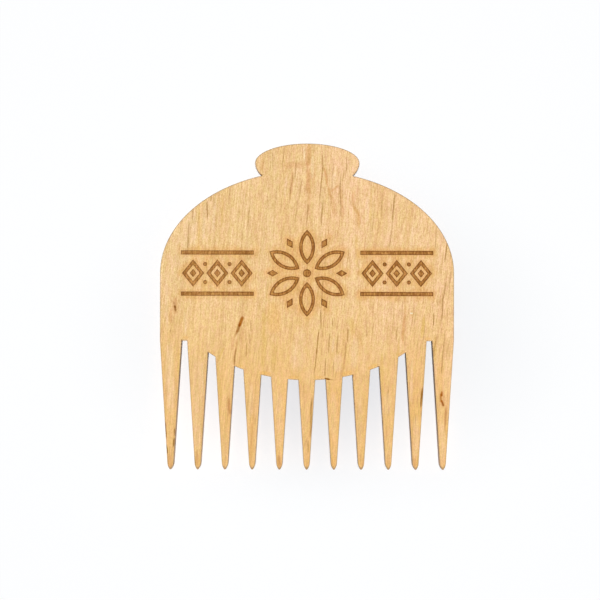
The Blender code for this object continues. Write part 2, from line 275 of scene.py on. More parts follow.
# the marks of the face that stand out by eye: from x, y to x, y in mm, half breadth in mm and strength
faceMarks = {
    "streak": [
        # on the grip and below it
        (-6.2, 44.4, -6.5, 40.0, 0.24, 0.42),
        (-6.4, 41.4, -6.8, 36.0, 0.22, 0.42),
        (-2.9, 39.8, -3.4, 34.6, 0.24, 0.55),
        (-3.9, 36.8, -4.8, 27.6, 0.26, 0.50),
        (-1.4, 35.2, -2.2, 28.4, 0.23, 0.46),
        (-2.4, 29.8, -3.4, 22.0, 0.22, 0.44),
        (0.4, 28.4, -0.3, 21.6, 0.28, 0.54),
        (4.1, 41.6, 4.2, 36.6, 0.25, 0.64),
        (4.2, 38.4, 3.4, 28.2, 0.24, 0.72),
        (4.4, 29.2, 3.8, 21.6, 0.23, 0.70),
        (9.1, 34.2, 9.2, 29.0, 0.25, 0.50),
        (9.2, 30.6, 9.0, 24.0, 0.32, 0.34),
        (10.8, 41.2, 10.7, 36.0, 0.20, 0.58),
        (-9.4, 42.4, -9.4, 37.6, 0.20, 0.48),
        # to the right of the grip
        (20.6, 31.6, 20.2, 24.2, 0.22, 0.42),
        (23.8, 31.6, 23.1, 22.2, 0.25, 0.74),
        (23.3, 23.4, 22.3, 15.6, 0.28, 0.46),
        (38.1, 18.0, 37.4, 11.8, 0.28, 0.78),
        # to the left of the grip
        (-20.8, 33.4, -21.5, 27.2, 0.22, 0.38),
        (-27.2, 29.2, -27.0, 23.4, 0.22, 0.84),
        (-26.3, 30.4, -26.3, 28.4, 0.22, 0.72),
        (-30.9, 27.0, -31.2, 23.0, 0.26, 0.50),
        (-32.1, 23.8, -32.8, 14.8, 0.26, 0.62),
        (-15.8, 27.4, -16.4, 21.2, 0.20, 0.46),
        # down the right side
        (39.3, 10.2, 38.6, 5.0, 0.28, 0.46),
        (37.9, 7.4, 36.9, 1.0, 0.30, 0.66),
        (37.2, 3.0, 36.5, -4.4, 0.28, 0.62),
        (35.3, -6.8, 34.4, -14.0, 0.30, 0.42),
        (37.5, -6.0, 37.1, -13.0, 0.22, 0.56),
        (37.0, -11.2, 36.4, -18.8, 0.26, 0.58),
        (34.4, -1.4, 34.3, -5.4, 0.22, 0.66),
        # across and below the ornament
        (4.4, 8.0, 3.9, -0.8, 0.24, 0.48),
        (3.9, -0.4, 3.8, -6.6, 0.23, 0.84),
        (3.4, -5.8, 2.6, -13.4, 0.27, 0.82),
        (2.8, -11.0, 2.0, -18.6, 0.23, 0.70),
        (6.2, -7.0, 5.9, -13.0, 0.22, 0.64),
        (8.4, -6.2, 8.1, -13.6, 0.28, 0.56),
        (11.1, -5.4, 11.1, -10.0, 0.28, 0.70),
        (10.8, -9.6, 10.3, -14.6, 0.26, 0.48),
        (16.3, -3.2, 16.1, -8.8, 0.24, 0.44),
        (24.7, -5.2, 24.1, -9.4, 0.24, 0.48),
        (5.1, -13.6, 4.9, -19.6, 0.24, 0.58),
        (7.0, -2.8, 6.9, -5.6, 0.23, 0.58),
        (7.4, -14.4, 7.1, -19.4, 0.22, 0.42),
        (-16.3, -9.4, -16.5, -14.2, 0.25, 0.62),
        (-15.3, -3.4, -15.3, -7.2, 0.24, 0.46),
        (-18.0, -4.3, -19.3, -7.9, 0.46, 0.60),
        (-15.6, -6.7, -15.6, -10.4, 0.24, 0.52),
        (-19.2, -10.8, -19.8, -16.6, 0.25, 0.66),
        (-37.2, -6.2, -37.2, -7.2, 0.24, 0.48),
        # down the middle tooth
        (1.5, -23.8, 0.9, -36.6, 0.38, 0.64),
        (0.5, -36.2, 0.3, -40.2, 0.28, 0.50),
    ],
    "cloud": [
        # round the grip, where the growth rings come to the surface in long arches
        (0.4, 44.8, 0.3, 37.6, 1.00, 0.80),
        (-6.8, 38.4, 0.8, 38.6, 1.20, 0.50),
        (0.2, 38.2, 0.3, 30.4, 0.90, 0.78),
        (-4.0, 37.8, -4.5, 28.4, 0.60, 0.55),
        (0.7, 32.6, 0.4, 24.4, 0.50, 0.50),
        (2.0, 38.8, 1.3, 31.2, 0.42, 0.45),
        (4.4, 38.6, 5.8, 32.2, 0.42, 0.85),
        (5.9, 32.8, 6.4, 29.6, 0.50, 0.80),
        (6.4, 31.2, 9.0, 33.2, 0.46, 0.65),
        (6.6, 31.0, 7.6, 24.0, 0.85, 0.48),
        (9.4, 33.4, 9.5, 22.6, 0.60, 0.55),
        (12.6, 32.2, 12.5, 26.8, 0.56, 0.60),
        (12.5, 27.6, 14.2, 25.0, 0.56, 0.60),
        (14.2, 26.0, 14.0, 21.4, 0.64, 0.70),
        (-12.1, 40.4, -12.4, 36.6, 0.60, 0.50),
        # on the body
        (14.0, -5.8, 15.2, -12.0, 0.42, 0.40),
        (-17.9, -5.0, -17.9, -10.0, 0.80, 0.50),
        (-36.0, 3.0, -35.7, -2.4, 0.80, 0.70),
        (-36.9, -0.2, -37.1, -5.0, 0.50, 0.70),
        (26.6, 5.0, 26.8, -2.0, 0.55, 0.40),
        (26.6, -1.2, 26.0, -10.6, 0.50, 0.55),
        (37.0, 6.0, 35.6, -8.0, 0.80, 0.35),
        (10.4, -13.4, 9.6, -18.4, 0.42, 0.60),
        (-18.9, -8.4, -19.3, -12.4, 0.50, 0.75),
        (-19.9, -8.0, -20.4, -12.4, 0.70, 0.50),
        (-19.3, -11.0, -19.9, -16.6, 0.42, 0.70),
        # on the teeth
        (-37.3, -39.8, -37.2, -44.8, 1.00, 0.75),
        (-29.9, -38.6, -29.8, -43.8, 0.48, 0.60),
        (-7.6, -40.2, -7.5, -43.8, 0.62, 0.70),
        (36.9, -22.0, 37.0, -28.0, 0.75, 0.70),
        (37.9, -26.2, 37.6, -33.2, 0.46, 0.90),
        (-21.4, -23.6, -21.2, -31.0, 0.60, 0.60),
        (-14.8, -31.6, -15.0, -38.4, 0.50, 0.60),
        (-15.0, -36.6, -15.3, -42.6, 0.46, 0.45),
        (20.6, -17.6, 20.6, -27.4, 0.34, 0.45),
        (21.6, -31.4, 21.8, -36.6, 0.42, 0.50),
        (-14.9, -24.6, -15.0, -31.4, 1.00, 0.32),
        (-0.2, -20.6, 0.2, -26.4, 1.30, 0.28),
        # broader and fainter ones on the right
        (27.0, 0.6, 26.4, -12.0, 1.10, 0.42),
        (28.4, -0.6, 28.3, -3.6, 0.80, 0.40),
        (13.8, 34.0, 13.4, 22.0, 1.20, 0.30),
        (22.6, -3.0, 22.0, -11.0, 1.60, 0.22),
    ],
    "olive": [
        # yellower, greener bands
        (-11.6, 0.6, -11.8, -18.4, 0.90, 0.70),
        (-8.8, -9.0, -9.4, -18.6, 0.90, 0.50),
        (-22.4, -10.8, -24.4, -15.4, 0.42, 0.80),
        (-24.4, -14.6, -23.5, -26.0, 0.46, 0.85),
        (-29.9, -19.4, -28.9, -27.4, 0.34, 0.95),
        (-28.9, -26.4, -28.6, -35.0, 0.34, 0.70),
        (12.2, -2.8, 12.4, -8.2, 0.95, 0.60),
        (31.8, -2.2, 31.2, -9.0, 0.60, 0.90),
        (35.0, -7.4, 34.6, -15.6, 0.60, 0.70),
        (20.4, -11.8, 20.6, -25.2, 0.60, 0.80),
        (-34.9, -10.4, -35.2, -20.0, 0.40, 0.90),
        (-37.6, -6.0, -37.4, -14.0, 0.50, 0.50),
        (7.0, -28.6, 7.0, -33.2, 0.60, 0.90),
        (30.7, -24.6, 30.6, -30.2, 0.50, 0.70),
        (25.0, -9.0, 24.2, -16.0, 0.40, 0.60),
        (-22.8, 31.0, -23.4, 21.0, 0.50, 0.50),
        (-29.2, 28.0, -29.6, 14.0, 0.36, 0.60),
        (6.1, -20.2, 6.2, -24.0, 0.42, 0.95),
        (13.6, 20.4, 13.4, 10.0, 0.70, 0.50),
        (17.6, 32.4, 17.2, 22.0, 0.45, 0.50),
        (13.9, 27.0, 13.6, 20.0, 1.00, 0.35),
        (14.6, -26.0, 14.7, -37.0, 0.90, 0.30),
    ],
    "glow": [
        # scorched yellow above the ends of the slots
        (-34.0, -8.4, -32.2, -8.5, 0.50, 0.50),
        (-27.0, -12.0, -24.8, -13.1, 0.45, 0.35),
        (-19.6, -15.7, -17.0, -16.4, 0.40, 0.40),
        (-13.1, -17.9, -9.4, -18.4, 0.65, 0.75),
        (-5.4, -19.1, -1.9, -19.2, 0.45, 0.55),
        (1.9, -19.2, 4.8, -19.1, 0.45, 0.55),
        (9.1, -18.5, 12.4, -17.6, 0.70, 0.75),
        (16.5, -17.0, 19.4, -15.5, 0.60, 0.70),
        (24.5, -13.2, 26.6, -12.0, 0.50, 0.50),
        (31.9, -8.7, 34.0, -8.6, 0.50, 0.50),
        # on three of the teeth
        (-14.7, -28.0, -14.9, -42.0, 1.00, 0.28),
        (7.4, -40.0, 7.3, -44.0, 0.60, 0.60),
        (36.2, -13.0, 36.3, -27.0, 1.20, 0.36),
        # an amber patch at the lower left of the rosette
        (-9.6, 2.0, -8.8, -8.0, 2.40, 0.44),
    ],
    "light": [
        (-1.0, 43.8, -0.8, 39.6, 0.34, 0.85),
        (1.5, 41.6, 1.2, 34.6, 0.55, 0.65),
        (7.4, 37.0, 7.2, 31.8, 0.80, 0.50),
        (16.6, 30.6, 16.2, 22.0, 0.60, 0.50),
        (-5.6, 36.2, -6.0, 29.2, 0.55, 0.45),
        (28.6, 22.6, 28.2, 15.4, 0.60, 0.40),
        (7.3, -8.2, 7.0, -12.8, 0.50, 0.50),
        (-3.6, -9.0, -3.9, -18.0, 1.10, 0.28),
        (-38.4, 10.0, -37.9, -8.0, 0.60, 0.40),
        (-35.4, 24.0, -37.0, 3.0, 2.20, 0.25),
        (-33.2, -1.0, -33.0, -8.0, 0.50, 0.45),
        # pale bands between the darker ones on the upper left
        (-30.4, 27.0, -30.9, 14.6, 0.60, 0.50),
        (-27.9, 28.0, -28.3, 16.6, 0.50, 0.45),
        (-25.0, 30.6, -25.6, 19.6, 0.60, 0.60),
        # and on the teeth
        (-28.6, -14.0, -28.0, -26.0, 0.34, 0.45),
        (28.6, -13.0, 28.5, -27.0, 0.60, 0.36),
        (14.4, -23.0, 14.6, -39.0, 0.80, 0.20),
        (-15.0, -20.0, -15.3, -31.0, 0.80, 0.25),
        # broader and fainter ones
        (-37.6, -8.0, -37.0, -30.0, 1.50, 0.50),
        (-29.8, -12.0, -29.6, -42.0, 1.70, 0.28),
        (-31.6, 28.0, -33.4, 12.0, 2.20, 0.32),
        (-26.6, 31.0, -27.6, 17.0, 1.60, 0.26),
        (-1.6, -4.6, -2.2, -18.4, 2.20, 0.34),
        (8.6, -12.6, 8.2, -18.0, 1.60, 0.35),
        (13.2, -8.0, 12.8, -17.4, 1.40, 0.48),
        (-7.6, -22.0, -7.4, -40.0, 1.30, 0.30),
        (7.2, -22.6, 7.3, -37.0, 1.20, 0.26),
        (22.0, -23.0, 22.0, -30.0, 1.20, 0.25),
        (29.8, -29.0, 29.6, -42.0, 1.20, 0.34),
        (37.0, -30.0, 36.7, -46.0, 1.20, 0.40),
    ],
    "paleFleck": [
        # a small pale fleck
        (27.95, -1.75, 28.80, -1.75, 0.28, 1.00),
    ],
    "rust": [
        # the knot
        (-17.3, -2.4, -18.4, -5.7, 0.62, 0.94),
        (-17.9, -4.4, -19.1, -7.3, 0.50, 0.40),
        (-18.7, -6.1, -19.8, -8.8, 0.38, 0.34),
        # on the teeth
        (36.75, -22.8, 36.75, -24.5, 0.40, 0.80),
        (36.4, -23.3, 36.45, -26.2, 0.34, 0.72),
        (36.6, -25.2, 37.2, -27.2, 0.42, 0.80),
        (37.95, -27.0, 37.75, -34.8, 0.34, 0.34),
        (-21.1, -24.6, -20.9, -29.6, 0.52, 0.42),
        (-38.30, -31.0, -37.95, -36.2, 0.26, 0.45),
        (-29.95, -38.6, -29.80, -43.4, 0.40, 0.20),
        (-7.3, -40.6, -7.4, -43.8, 0.54, 0.24),
        (22.2, -39.8, 22.1, -43.4, 0.56, 0.22),
        (29.6, -41.0, 29.6, -43.8, 0.52, 0.20),
    ],
    "scorch": [
        # the dark fleck on the left
        (-36.2, 1.4, -35.8, -0.6, 0.34, 0.35),
        (-36.0, 0.4, -35.6, -1.5, 0.40, 0.75),
        # on the teeth
        (36.8, -23.4, 36.8, -24.4, 0.24, 0.35),
        (36.8, -25.8, 37.2, -27.1, 0.26, 0.40),
        (31.5, -21.4, 31.1, -27.8, 0.42, 0.90),
        (-38.30, -31.4, -38.00, -36.0, 0.26, 0.70),
        (-38.05, -37.6, -37.8, -40.2, 0.28, 0.95),
        (-35.8, -33.0, -35.9, -35.4, 0.30, 0.72),
        (-36.0, -35.6, -36.1, -38.4, 0.36, 0.75),
        (-30.6, -40.4, -30.3, -43.8, 0.28, 0.60),
        # where the beam turned, at the ends of slots and under the grip
        (4.7, -19.50, 6.3, -19.80, 0.32, 1.00),
        (5.2, -19.70, 7.4, -19.90, 0.20, 0.50),
        (-34.1, -8.8, -34.1, -9.8, 0.30, 0.70),
        (-26.9, -12.3, -26.9, -13.3, 0.30, 0.55),
        (12.4, -18.3, 12.4, -19.2, 0.28, 0.55),
        (19.6, -16.1, 19.6, -17.1, 0.32, 1.00),
        (-12.4, 36.2, -12.3, 35.4, 0.30, 0.70),
    ],
}

backWood = {
    "pale": tone(236, 196, 138),
    "deep": tone(221, 173, 112),
    "pink": tone(230, 182, 134),
    "low": tone(226, 177, 112),
    "cloud": tone(206, 152, 98),
    "olive": tone(216, 168, 92),
    "glow": tone(222, 166, 90),
    "pore": tone(192, 142, 90),
    "streak": tone(164, 110, 62),
    "rust": tone(150, 84, 46),
    "scorch": tone(112, 74, 40),
    "light": tone(244, 208, 160),
    "paleFleck": tone(250, 228, 190),
    "tips": tone(196, 142, 82),
    # the rim line's colour: the laser's char with painted edge shade
    "char": tone(110, 84, 64),
    "charAndShadeStrength": (0.60, 0.70),
    "darkFibre": (0.72, 0.63, 0.47, 1),
    "midFibre": (0.96, 0.94, 0.96, 1),
    "smoothTeeth": 0.35,
    "lines": ((0.940, 0.930, 0.885, 1), (1.030, 1.040, 1.070, 1)),
    "lightFibre": (1.16, 1.24, 1.44, 1),
    "hues": ((0.985, 1.015, 0.93, 1), (1.02, 0.99, 1.06, 1)),  # greener and pinker patches
    "lean": -2.5,
    "drift": 3.0,
    "driftCell": 17.0,
    "rings": 0.45,
    "seed": 41.0,
    "roughness": 0.60,
    "specular": 0.20,
}
backMarks = {
    "streak": [
        (-9.0, 34.0, -8.2, 20.0, 0.35, 0.50),
        (11.5, 12.0, 12.4, -8.0, 0.45, 0.45),
        (-24.0, 8.0, -23.4, -6.0, 0.35, 0.45),
        (27.4, 6.0, 28.0, -7.0, 0.30, 0.45),
    ],
    "cloud": [
        (-9.6, 30.0, -8.6, 8.0, 1.60, 0.40),
        (12.0, 16.0, 13.0, -14.0, 2.20, 0.35),
    ],
    "olive": [
        (-22.0, 20.0, -21.4, -4.0, 1.80, 0.50),
    ],
    "glow": [
        (-13.1, -17.9, -9.4, -18.4, 0.65, 0.60),
    ],
    "light": [
        (-2.0, 30.0, -1.2, 6.0, 1.60, 0.40),
    ],
    "paleFleck": [],
    "rust": [
        (20.2, 17.4, 20.6, 14.6, 0.55, 0.90),
    ],
    "scorch": [
        (20.1, 16.6, 20.3, 15.4, 0.24, 0.80),
    ],
}


# the noises in the wood: cells a millimetre across, along and up, seed step, detail and roughness
woodNoises = {
    "bands": (0.30, 0.018, 0.1, 5, 3.0, 0.6),
    "figure": (0.05, 0.02, 0.05, 9, 1.0, 0.5),
    "pinkBands": (0.16, 0.03, 0.1, 11, 2.0, 0.5),
    "fibres": (4.6, 0.36, 1.0, 17, 2.0, 0.6),
    "mottle": (3.4, 2.4, 1.0, 23, 1.0, 0.7),
    "pores": (3.6, 0.22, 1.0, 29, 1.0, 0.5),
    "dashes": (2.4, 0.07, 0.5, 31, 1.0, 0.5),
    "wobble": (0.16, 0.16, 0.1, 37, 2.0, 0.5),
    "breaks": (1.2, 0.42, 0.5, 43, 2.0, 0.6),
    "patchy": (0.35, 0.25, 0.3, 47, 2.0, 0.6),
    "hues": (1.5, 0.5, 0.5, 53, 2.0, 0.7),
    "lines": (1.5, 0.03, 0.5, 59, 3.0, 0.7),
}

# where each look sets in: from and to, and how strong it is at either end where that isn't 0 and 1 or
# one of the wood's own values
woodFades = {
    "bands": (0.34, 0.66),
    "calm": (-26, 4, 0.50, 1.0),  # over x in mm: the left is calmer than the middle and the right
    "rings": (0.1, 1.0, 0),
    "corner": (2, 35),  # towards the upper right, in mm
    "pinkBands": (0.38, 0.62, 0.15, 0.75),
    "low": (10, -36, 0, 0.72),  # over y in mm: warmer towards the teeth
    "lowBands": (0.36, 0.64, 1.2, 0.7),
    "lively": (0.3, 0.7, -0.12, 0.18),
    "pores": (0.54, 0.70, 0, 0.50),
    "dashes": (0.63, 0.76, 0, 0.34),
    "fibres": (0.28, 0.72, 0, 0.50),
    "mottle": (0.25, 0.75, 0, 0.50),
    "smoothTeeth": (2, -22, 0),  # over y in mm
    "lines": (0.34, 0.66),
    "calmLines": (0.5, 1.0, 1.0, 0.36),
    "hues": (0.36, 0.64),
    "breaks": (0.30, 0.52, 0.80, 1.0),
    "toasted": (-40, -45, 0, 0.7),  # over y in mm: the ends of the teeth
    "toastedPatches": (0.35, 0.65, 0.25, 1),
    "stained": (0.2, 1.0),
    "toothEnds": (-42.9, -44.2),  # over y in mm
    "charAndShadeStrength": (-12, 24),  # over y in mm
    "rim": (0.32, 0.06),  # over the distance to the cut, in mm
    "rough": (0.25, 0.75),
}

woodFigure = {
    "ringPhase": 1.9,  # a millimetre
    "ringBend": 60.0,
    "cornerRise": 0.7,  # y counts this much beside x on the way to the pink corner
    "markWobble": 0.9,  # mm
    # the rim line round the ends of the teeth, partly painted edge shade
    "rimBroader": 0.24,  # mm, on the ends of the teeth
    "rimDarker": 0.3,
    "burntSpecular": 0.03,  # stained and burnt wood is duller
    "roughnessSpan": (-0.07, 0.09),
    "mottleRelief": 0.5,
    "relief": 0.6,
    "reliefDepth": 0.03 * millimetre,
}


def woodNoise(tree, vector, wood, name):
    across, along, upright, step, detail, roughness = woodNoises[name]
    return stretchedNoise(tree, vector, across, along, upright, wood["seed"] + step, detail, roughness)


def woodTone(tree, wood, grain, axes, bands, calm):
    # broad soft bands along the grain and faint growth rings
    bandMask = calculate(tree, "MULTIPLY", fade(tree, bands, *woodFades["bands"]), calm)
    colour = blendColour(tree, bandMask, wood["pale"], wood["deep"])
    bend = calculate(tree, "MULTIPLY", woodNoise(tree, grain, wood, "figure"), woodFigure["ringBend"])
    phase = calculate(tree, "ADD", calculate(tree, "MULTIPLY", axes["X"], woodFigure["ringPhase"]), bend)
    rings = fade(tree, calculate(tree, "SINE", phase), *woodFades["rings"], wood["rings"])
    colour = blendColour(tree, rings, colour, wood["deep"])

    # pinker to the upper right and warmer towards the teeth
    pinkBands = woodNoise(tree, grain, wood, "pinkBands")
    rise = calculate(tree, "MULTIPLY", axes["Y"], woodFigure["cornerRise"])
    corner = fade(tree, calculate(tree, "ADD", axes["X"], rise), *woodFades["corner"])
    pinkMask = calculate(tree, "MULTIPLY", fade(tree, pinkBands, *woodFades["pinkBands"]), corner)
    colour = blendColour(tree, pinkMask, colour, wood["pink"])
    low = fade(tree, axes["Y"], *woodFades["low"])
    lowMask = calculate(tree, "MULTIPLY", low, fade(tree, pinkBands, *woodFades["lowBands"]))
    return blendColour(tree, lowMask, colour, wood["low"])


def fibreTint(tree, wood, grain, axes, calm, fibres, mottle):
    # light and dark fibres with a grainy mottle, smoother on the teeth
    fibreShare = fade(tree, fibres, *woodFades["fibres"])
    shade = calculate(tree, "ADD", fibreShare, fade(tree, mottle, *woodFades["mottle"]))
    tint = blendColour(tree, shade, wood["darkFibre"], wood["lightFibre"])
    smooth = fade(tree, axes["Y"], *woodFades["smoothTeeth"], wood["smoothTeeth"])
    tint = blendColour(tree, smooth, tint, wood["midFibre"])

    # long fine lines, and greener and pinker patches
    lines = fade(tree, woodNoise(tree, grain, wood, "lines"), *woodFades["lines"])
    lineTint = blendColour(tree, lines, *wood["lines"])
    tint = blendColour(tree, fade(tree, calm, *woodFades["calmLines"]), tint, lineTint, "MULTIPLY")
    hues = fade(tree, woodNoise(tree, grain, wood, "hues"), *woodFades["hues"])
    return blendColour(tree, 1.0, tint, blendColour(tree, hues, *wood["hues"]), "MULTIPLY")


def strokes(tree, place, lines):
    # one soft line for each entry, all added up: even along its length, soft at its sides and its ends
    total = 0.0
    for x0, y0, x1, y1, breadth, strength in lines:
        middle = Vector(((x0 + x1) / 2, (y0 + y1) / 2, 0))
        shrink = Vector((1 / breadth, 2 / hypot(x1 - x0, y1 - y0), 0))
        sockets = {"Vector": place, "Center": middle, "Angle": atan2(x1 - x0, y1 - y0)}
        upright = addNode(tree, "ShaderNodeVectorRotate", sockets, rotation_type="Z_AXIS").outputs[0]
        sockets = {0: upright, 1: shrink, 2: Vector((-middle.x * shrink.x, -middle.y * shrink.y, 0))}
        local = vectorMath(tree, "MULTIPLY_ADD", sockets)
        local = vectorMath(tree, "POWER", {0: local, 1: (1, 2, 1)})
        reach = vectorMath(tree, "DOT_PRODUCT", {0: local, 1: local}, "Value")
        total = calculate(tree, "ADD", fade(tree, reach, 1.0, 0.0, 0.0, strength), total)
    return total


def charAndShadeRim(tree, wood, axes, level, colour):
    # the greyish line on the rim: partly the char that the laser leaves, partly painted edge shade,
    # stronger towards the top and broader and darker round the ends of the teeth
    toothEnds = fade(tree, level, *woodFades["toothEnds"])
    broader = calculate(tree, "MULTIPLY", toothEnds, woodFigure["rimBroader"])
    rim = calculate(tree, "SUBTRACT", readAttribute(tree, "edgeDistance"), broader)
    charAndShadeStrength = fade(tree, axes["Y"], *woodFades["charAndShadeStrength"], *wood["charAndShadeStrength"])
    darker = calculate(tree, "MULTIPLY", toothEnds, woodFigure["rimDarker"])
    charAndShadeStrength = calculate(tree, "ADD", charAndShadeStrength, darker)
    charAndShadeMask = calculate(tree, "MULTIPLY", fade(tree, rim, *woodFades["rim"]), charAndShadeStrength)
    return blendColour(tree, charAndShadeMask, colour, wood["char"])


def veneerMaterial(name, wood, marks, engraved):
    material, tree, shader = startMaterial(name, wood["roughness"], wood["specular"])
    place = inMillimetres(tree)
    spot = splitAxes(tree, place)
    grain = grainVector(tree, place, wood["lean"], wood["drift"], wood["driftCell"], wood["seed"])
    axes = splitAxes(tree, grain)
    bands = woodNoise(tree, grain, wood, "bands")
    calm = fade(tree, axes["X"], *woodFades["calm"])
    colour = woodTone(tree, wood, grain, axes, bands, calm)

    # short pores and longer dashes; the middle and the right are livelier than the left
    lively = calculate(tree, "ADD", calm, fade(tree, bands, *woodFades["lively"]))
    pores = fade(tree, woodNoise(tree, grain, wood, "pores"), *woodFades["pores"])
    poreMask = calculate(tree, "MULTIPLY", pores, lively)
    colour = blendColour(tree, poreMask, colour, wood["pore"])
    dashes = fade(tree, woodNoise(tree, grain, wood, "dashes"), *woodFades["dashes"])
    colour = blendColour(tree, calculate(tree, "MULTIPLY", dashes, lively), colour, wood["streak"])

    # the lines and flecks that stand out wobble a little and are broken up along the grain
    wobble = calculate(tree, "SUBTRACT", woodNoise(tree, place, wood, "wobble"), 0.5)
    aside = calculate(tree, "MULTIPLY", wobble, woodFigure["markWobble"])
    offset = addNode(tree, "ShaderNodeCombineXYZ", {"X": aside}).outputs[0]
    drawn = vectorMath(tree, "ADD", {0: place, 1: offset})
    breaks = fade(tree, woodNoise(tree, grain, wood, "breaks"), *woodFades["breaks"])
    for kind in ("cloud", "olive", "glow", "light", "paleFleck"):
        drawnMask = calculate(tree, "MULTIPLY", strokes(tree, drawn, marks[kind]), breaks)
        colour = blendColour(tree, calculate(tree, "MINIMUM", drawnMask, 1.0), colour, wood[kind])

    # where the laser passed: toasted ends on the teeth, and the engraving
    patchy = woodNoise(tree, place, wood, "patchy")
    toasted = fade(tree, spot["Y"], *woodFades["toasted"])
    toasted = calculate(tree, "MULTIPLY", toasted, fade(tree, patchy, *woodFades["toastedPatches"]))
    colour = blendColour(tree, toasted, colour, wood["tips"])
    if engraved:
        motif = readAttribute(tree, "motifDistance")
        colour = engravedColour(tree, place, spot, motif, patchy, colour)

    # stains darken whatever they cross, so they show in the engraving too
    stained = 0.0
    for kind in ("streak", "rust", "scorch"):
        stain = (*[over / under for over, under in zip(wood[kind][:3], wood["pale"][:3])], 1)
        drawnMask = calculate(tree, "MULTIPLY", strokes(tree, drawn, marks[kind]), breaks)
        colour = blendColour(tree, calculate(tree, "MINIMUM", drawnMask, 1.0), colour, stain, "MULTIPLY")
        stained = calculate(tree, "ADD", drawnMask, stained)
    fibres = woodNoise(tree, grain, wood, "fibres")
    mottle = woodNoise(tree, grain, wood, "mottle")
    tint = fibreTint(tree, wood, grain, axes, calm, fibres, mottle)
    colour = blendColour(tree, 1.0, colour, tint, "MULTIPLY")
    # the rim line: the laser's char with painted edge shade
    colour = charAndShadeRim(tree, wood, axes, spot["Y"], colour)
    tree.links.new(colour, shader.inputs["Base Color"])

    # stained and burnt wood is duller, and roughness and relief follow the fibres
    dullest = woodFigure["burntSpecular"]
    sheen = fade(tree, stained, *woodFades["stained"], wood["specular"], dullest)
    if engraved:
        sunkSheen = fade(tree, motif, *engravedLook["cutLine"], wood["specular"], dullest)
        sheen = calculate(tree, "MINIMUM", sheen, sunkSheen)
    tree.links.new(sheen, shader.inputs["Specular IOR Level"])
    roughness = [wood["roughness"] + step for step in woodFigure["roughnessSpan"]]
    tree.links.new(fade(tree, fibres, *woodFades["rough"], *roughness), shader.inputs["Roughness"])
    relief = calculate(tree, "SUBTRACT", fibres, poreMask)
    relief = calculate(tree, "ADD", relief, calculate(tree, "MULTIPLY", mottle, woodFigure["mottleRelief"]))
    addRelief(tree, shader, relief, woodFigure["relief"], woodFigure["reliefDepth"])
    return material


engravedLook = {
    "floor": tone(203, 143, 68),
    "side": tone(130, 73, 20),
    "glow": tone(228, 170, 88),
    "glowReach": (2.2, 0.1, 0, 0.60),  # over the distance outside the cut, in mm
    "glowPatches": (0.3, 0.7, 0.9, -0.2),  # mm nearer or further
    "cutLine": (0.06, -0.02),  # over the distance across the side of the cut, in mm
    "floorReach": (-0.10, -0.38),  # and from the side to the floor
    "burnt": (-30, 0, 0.62, 0.76),  # over x in mm: fainter to the left
    "raster": (0.5, 3.2, 0.3),  # cells a millimetre: the lines that the beam leaves
    "rasterShade": (0.35, 0.65, 0, 0.36),
    "rasterSeed": 61.0,
    "fibres": (2.0, 0.4, 0.5),
    "fibreShade": (0.40, 0.60, 0, 0.84),
    "fibreSeed": 67.0,
}


def engravedColour(tree, place, spot, motif, patchy, colour):
    # below the face the wood turns brown, darkest along the sides; beside the cuts it is scorched yellow
    look = engravedLook
    glow = calculate(tree, "ADD", motif, fade(tree, patchy, *look["glowPatches"]))
    colour = blendColour(tree, fade(tree, glow, *look["glowReach"]), colour, look["glow"])
    brown = blendColour(tree, fade(tree, motif, *look["floorReach"]), look["side"], look["floor"])
    burnt = fade(tree, spot["X"], *look["burnt"])
    brown = blendColour(tree, burnt, colour, brown)
    raster = stretchedNoise(tree, place, *look["raster"], look["rasterSeed"], 2.0, 0.6)
    brown = blendColour(tree, fade(tree, raster, *look["rasterShade"]), brown, look["side"])
    fibres = stretchedNoise(tree, place, *look["fibres"], look["fibreSeed"], 3.0, 0.7)
    fibreMask = calculate(tree, "MULTIPLY", fade(tree, fibres, *look["fibreShade"]), burnt)
    brown = blendColour(tree, fibreMask, brown, look["side"])
    return blendColour(tree, fade(tree, motif, *look["cutLine"]), colour, brown)


# the burnt cut edge and the glue

burntEdge = {
    "dark": tone(112, 95, 89),
    "brown": tone(172, 147, 130),
    "pale": tone(220, 190, 163),
    "marks": (3.6, 3.6, 0.22),  # cells a millimetre: upright laser marks
    "markShade": (0.32, 0.68),
    "clouds": (0.16, 0.16, 0.35),
    "cloudShade": (0.42, 0.70),
    "fibreShade": (0.35, 0.62),
    "paleLeft": (8, -20, 0, 0.50),  # over x in mm: the cut is paler to the left
    "paleTeeth": (-14, -36, 0, 0.55),  # over y in mm: and on the teeth
    "fibreRelief": 0.5,
    "relief": 0.8,
    "reliefDepth": 0.06 * millimetre,
    "roughness": 0.72,
    "specular": 0.22,
}
# cells of the fibres a millimetre across, along and up, how much pale wood shows, and the seed
edgeFibres = {
    "faceEdge": ((2.4, 0.3, 2.4), 0.75, 81.0),
    "coreEdge": ((0.3, 2.4, 2.4), 0.35, 101.0),
    "backEdge": ((2.4, 0.3, 2.4), 0.55, 91.0),
}


